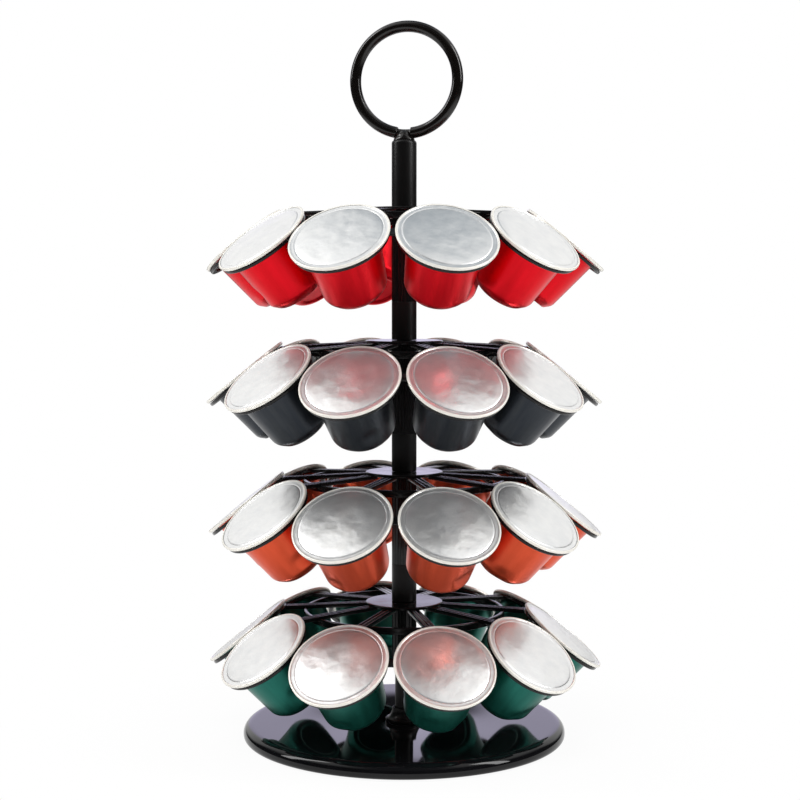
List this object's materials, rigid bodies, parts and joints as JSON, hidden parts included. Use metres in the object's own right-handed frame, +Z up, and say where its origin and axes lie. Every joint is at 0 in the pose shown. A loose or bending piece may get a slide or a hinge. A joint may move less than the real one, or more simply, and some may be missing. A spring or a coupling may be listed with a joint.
{
  "type": "coffee capsule dispenser",
  "caption": "Free-standing turning stand that holds sealed coffee capsules in tilted rings around a central pole, with a ring handle on top.",
  "frame": {"origin": "on the pole's axis, on the surface that the base rests on", "axes": "+Z up along the pole; -Y towards the side in the picture; the tiers' turns are measured from -Y"},
  "size_m": [0.1506, 0.1486, 0.274],
  "materials": {
    "gloss_black_enamel": "high gloss black enamel on steel",
    "black_metal": "satin black on steel",
    "black_plastic": "gloss moulded",
    "dark_rubber": "matte",
    "white_nylon": "natural nylon",
    "zinc_steel": "zinc plated",
    "green_capsule": "dark green lacquer, bare foil lid",
    "orange_capsule": "burnt orange lacquer, bare foil lid",
    "dark_capsule": "slate lacquer, bare foil lid",
    "red_capsule": "red lacquer, bare foil lid"
  },
  "bodies": {
    "base": {"base_plate": "gloss_black_enamel", "base_pad": "dark_rubber", "bearing_bush": "white_nylon", "thrust_washer": "white_nylon", "foot_collar": "gloss_black_enamel"},
    "carousel": {"centre_spindle": "black_metal", "handle_ring": "black_metal", "pivot_screw": "zinc_steel", "retaining_washer": "zinc_steel", "spacer_tube_1": "black_metal", "spacer_tube_2": "black_metal", "spacer_tube_3": "black_metal", "tier_1": "black_plastic", "tier_2": "black_plastic", "tier_3": "black_plastic", "tier_4": "black_plastic", "top_tube": "black_metal"},
    "dark_capsule_01": {"dark_capsule_01": "dark_capsule"},
    "dark_capsule_02": {"dark_capsule_02": "dark_capsule"},
    "dark_capsule_03": {"dark_capsule_03": "dark_capsule"},
    "dark_capsule_04": {"dark_capsule_04": "dark_capsule"},
    "dark_capsule_05": {"dark_capsule_05": "dark_capsule"},
    "dark_capsule_06": {"dark_capsule_06": "dark_capsule"},
    "dark_capsule_07": {"dark_capsule_07": "dark_capsule"},
    "dark_capsule_08": {"dark_capsule_08": "dark_capsule"},
    "dark_capsule_09": {"dark_capsule_09": "dark_capsule"},
    "dark_capsule_10": {"dark_capsule_10": "dark_capsule"},
    "green_capsule_01": {"green_capsule_01": "green_capsule"},
    "green_capsule_02": {"green_capsule_02": "green_capsule"},
    "green_capsule_03": {"green_capsule_03": "green_capsule"},
    "green_capsule_04": {"green_capsule_04": "green_capsule"},
    "green_capsule_05": {"green_capsule_05": "green_capsule"},
    "green_capsule_06": {"green_capsule_06": "green_capsule"},
    "green_capsule_07": {"green_capsule_07": "green_capsule"},
    "green_capsule_08": {"green_capsule_08": "green_capsule"},
    "green_capsule_09": {"green_capsule_09": "green_capsule"},
    "green_capsule_10": {"green_capsule_10": "green_capsule"},
    "orange_capsule_01": {"orange_capsule_01": "orange_capsule"},
    "orange_capsule_02": {"orange_capsule_02": "orange_capsule"},
    "orange_capsule_03": {"orange_capsule_03": "orange_capsule"},
    "orange_capsule_04": {"orange_capsule_04": "orange_capsule"},
    "orange_capsule_05": {"orange_capsule_05": "orange_capsule"},
    "orange_capsule_06": {"orange_capsule_06": "orange_capsule"},
    "orange_capsule_07": {"orange_capsule_07": "orange_capsule"},
    "orange_capsule_08": {"orange_capsule_08": "orange_capsule"},
    "orange_capsule_09": {"orange_capsule_09": "orange_capsule"},
    "orange_capsule_10": {"orange_capsule_10": "orange_capsule"},
    "red_capsule_01": {"red_capsule_01": "red_capsule"},
    "red_capsule_02": {"red_capsule_02": "red_capsule"},
    "red_capsule_03": {"red_capsule_03": "red_capsule"},
    "red_capsule_04": {"red_capsule_04": "red_capsule"},
    "red_capsule_05": {"red_capsule_05": "red_capsule"},
    "red_capsule_06": {"red_capsule_06": "red_capsule"},
    "red_capsule_07": {"red_capsule_07": "red_capsule"},
    "red_capsule_08": {"red_capsule_08": "red_capsule"},
    "red_capsule_09": {"red_capsule_09": "red_capsule"},
    "red_capsule_10": {"red_capsule_10": "red_capsule"}
  },
  "joints": [
    {"name": "carousel_turn", "type": "hinge", "parent": "base", "child": "carousel", "pos_m": [0, 0, 0], "axis": [0, 0, 1], "continuous": true},
    {"name": "dark_capsule_01_lift", "type": "slide", "parent": "carousel", "child": "dark_capsule_01", "axis": [0.2252, -0.6958, 0.682], "range_m": [0, 0.03]},
    {"name": "dark_capsule_02_lift", "type": "slide", "parent": "carousel", "child": "dark_capsule_02", "axis": [0.5912, -0.4306, 0.682], "range_m": [0, 0.03]},
    {"name": "dark_capsule_03_lift", "type": "slide", "parent": "carousel", "child": "dark_capsule_03", "axis": [0.7314, -0.0009, 0.682], "range_m": [0, 0.03]},
    {"name": "dark_capsule_04_lift", "type": "slide", "parent": "carousel", "child": "dark_capsule_04", "axis": [0.5922, 0.4292, 0.682], "range_m": [0, 0.03]},
    {"name": "dark_capsule_05_lift", "type": "slide", "parent": "carousel", "child": "dark_capsule_05", "axis": [0.2269, 0.6953, 0.682], "range_m": [0, 0.03]},
    {"name": "dark_capsule_06_lift", "type": "slide", "parent": "carousel", "child": "dark_capsule_06", "axis": [-0.2252, 0.6958, 0.682], "range_m": [0, 0.03]},
    {"name": "dark_capsule_07_lift", "type": "slide", "parent": "carousel", "child": "dark_capsule_07", "axis": [-0.5912, 0.4306, 0.682], "range_m": [0, 0.03]},
    {"name": "dark_capsule_08_lift", "type": "slide", "parent": "carousel", "child": "dark_capsule_08", "axis": [-0.7314, 0.0009, 0.682], "range_m": [0, 0.03]},
    {"name": "dark_capsule_09_lift", "type": "slide", "parent": "carousel", "child": "dark_capsule_09", "axis": [-0.5922, -0.4292, 0.682], "range_m": [0, 0.03]},
    {"name": "dark_capsule_10_lift", "type": "slide", "parent": "carousel", "child": "dark_capsule_10", "axis": [-0.2269, -0.6953, 0.682], "range_m": [0, 0.03]},
    {"name": "green_capsule_01_lift", "type": "slide", "parent": "carousel", "child": "green_capsule_01", "axis": [0.1726, -0.7107, 0.682], "range_m": [0, 0.03]},
    {"name": "green_capsule_02_lift", "type": "slide", "parent": "carousel", "child": "green_capsule_02", "axis": [0.5574, -0.4735, 0.682], "range_m": [0, 0.03]},
    {"name": "green_capsule_03_lift", "type": "slide", "parent": "carousel", "child": "green_capsule_03", "axis": [0.7292, -0.0555, 0.682], "range_m": [0, 0.03]},
    {"name": "green_capsule_04_lift", "type": "slide", "parent": "carousel", "child": "green_capsule_04", "axis": [0.6226, 0.3838, 0.682], "range_m": [0, 0.03]},
    {"name": "green_capsule_05_lift", "type": "slide", "parent": "carousel", "child": "green_capsule_05", "axis": [0.2781, 0.6764, 0.682], "range_m": [0, 0.03]},
    {"name": "green_capsule_06_lift", "type": "slide", "parent": "carousel", "child": "green_capsule_06", "axis": [-0.1726, 0.7107, 0.682], "range_m": [0, 0.03]},
    {"name": "green_capsule_07_lift", "type": "slide", "parent": "carousel", "child": "green_capsule_07", "axis": [-0.5574, 0.4735, 0.682], "range_m": [0, 0.03]},
    {"name": "green_capsule_08_lift", "type": "slide", "parent": "carousel", "child": "green_capsule_08", "axis": [-0.7292, 0.0555, 0.682], "range_m": [0, 0.03]},
    {"name": "green_capsule_09_lift", "type": "slide", "parent": "carousel", "child": "green_capsule_09", "axis": [-0.6226, -0.3838, 0.682], "range_m": [0, 0.03]},
    {"name": "green_capsule_10_lift", "type": "slide", "parent": "carousel", "child": "green_capsule_10", "axis": [-0.2781, -0.6764, 0.682], "range_m": [0, 0.03]},
    {"name": "orange_capsule_01_lift", "type": "slide", "parent": "carousel", "child": "orange_capsule_01", "axis": [0.1906, -0.7061, 0.682], "range_m": [0, 0.03]},
    {"name": "orange_capsule_02_lift", "type": "slide", "parent": "carousel", "child": "orange_capsule_02", "axis": [0.5693, -0.4592, 0.682], "range_m": [0, 0.03]},
    {"name": "orange_capsule_03_lift", "type": "slide", "parent": "carousel", "child": "orange_capsule_03", "axis": [0.7304, -0.0369, 0.682], "range_m": [0, 0.03]},
    {"name": "orange_capsule_04_lift", "type": "slide", "parent": "carousel", "child": "orange_capsule_04", "axis": [0.6126, 0.3995, 0.682], "range_m": [0, 0.03]},
    {"name": "orange_capsule_05_lift", "type": "slide", "parent": "carousel", "child": "orange_capsule_05", "axis": [0.2608, 0.6833, 0.682], "range_m": [0, 0.03]},
    {"name": "orange_capsule_06_lift", "type": "slide", "parent": "carousel", "child": "orange_capsule_06", "axis": [-0.1906, 0.7061, 0.682], "range_m": [0, 0.03]},
    {"name": "orange_capsule_07_lift", "type": "slide", "parent": "carousel", "child": "orange_capsule_07", "axis": [-0.5693, 0.4592, 0.682], "range_m": [0, 0.03]},
    {"name": "orange_capsule_08_lift", "type": "slide", "parent": "carousel", "child": "orange_capsule_08", "axis": [-0.7304, 0.0369, 0.682], "range_m": [0, 0.03]},
    {"name": "orange_capsule_09_lift", "type": "slide", "parent": "carousel", "child": "orange_capsule_09", "axis": [-0.6126, -0.3995, 0.682], "range_m": [0, 0.03]},
    {"name": "orange_capsule_10_lift", "type": "slide", "parent": "carousel", "child": "orange_capsule_10", "axis": [-0.2608, -0.6833, 0.682], "range_m": [0, 0.03]},
    {"name": "red_capsule_01_lift", "type": "slide", "parent": "carousel", "child": "red_capsule_01", "axis": [0.18, -0.7089, 0.682], "range_m": [0, 0.03]},
    {"name": "red_capsule_02_lift", "type": "slide", "parent": "carousel", "child": "red_capsule_02", "axis": [0.5623, -0.4677, 0.682], "range_m": [0, 0.03]},
    {"name": "red_capsule_03_lift", "type": "slide", "parent": "carousel", "child": "red_capsule_03", "axis": [0.7298, -0.0478, 0.682], "range_m": [0, 0.03]},
    {"name": "red_capsule_04_lift", "type": "slide", "parent": "carousel", "child": "red_capsule_04", "axis": [0.6185, 0.3903, 0.682], "range_m": [0, 0.03]},
    {"name": "red_capsule_05_lift", "type": "slide", "parent": "carousel", "child": "red_capsule_05", "axis": [0.271, 0.6793, 0.682], "range_m": [0, 0.03]},
    {"name": "red_capsule_06_lift", "type": "slide", "parent": "carousel", "child": "red_capsule_06", "axis": [-0.18, 0.7089, 0.682], "range_m": [0, 0.03]},
    {"name": "red_capsule_07_lift", "type": "slide", "parent": "carousel", "child": "red_capsule_07", "axis": [-0.5623, 0.4677, 0.682], "range_m": [0, 0.03]},
    {"name": "red_capsule_08_lift", "type": "slide", "parent": "carousel", "child": "red_capsule_08", "axis": [-0.7298, 0.0478, 0.682], "range_m": [0, 0.03]},
    {"name": "red_capsule_09_lift", "type": "slide", "parent": "carousel", "child": "red_capsule_09", "axis": [-0.6185, -0.3903, 0.682], "range_m": [0, 0.03]},
    {"name": "red_capsule_10_lift", "type": "slide", "parent": "carousel", "child": "red_capsule_10", "axis": [-0.271, -0.6793, 0.682], "range_m": [0, 0.03]}
  ]
}
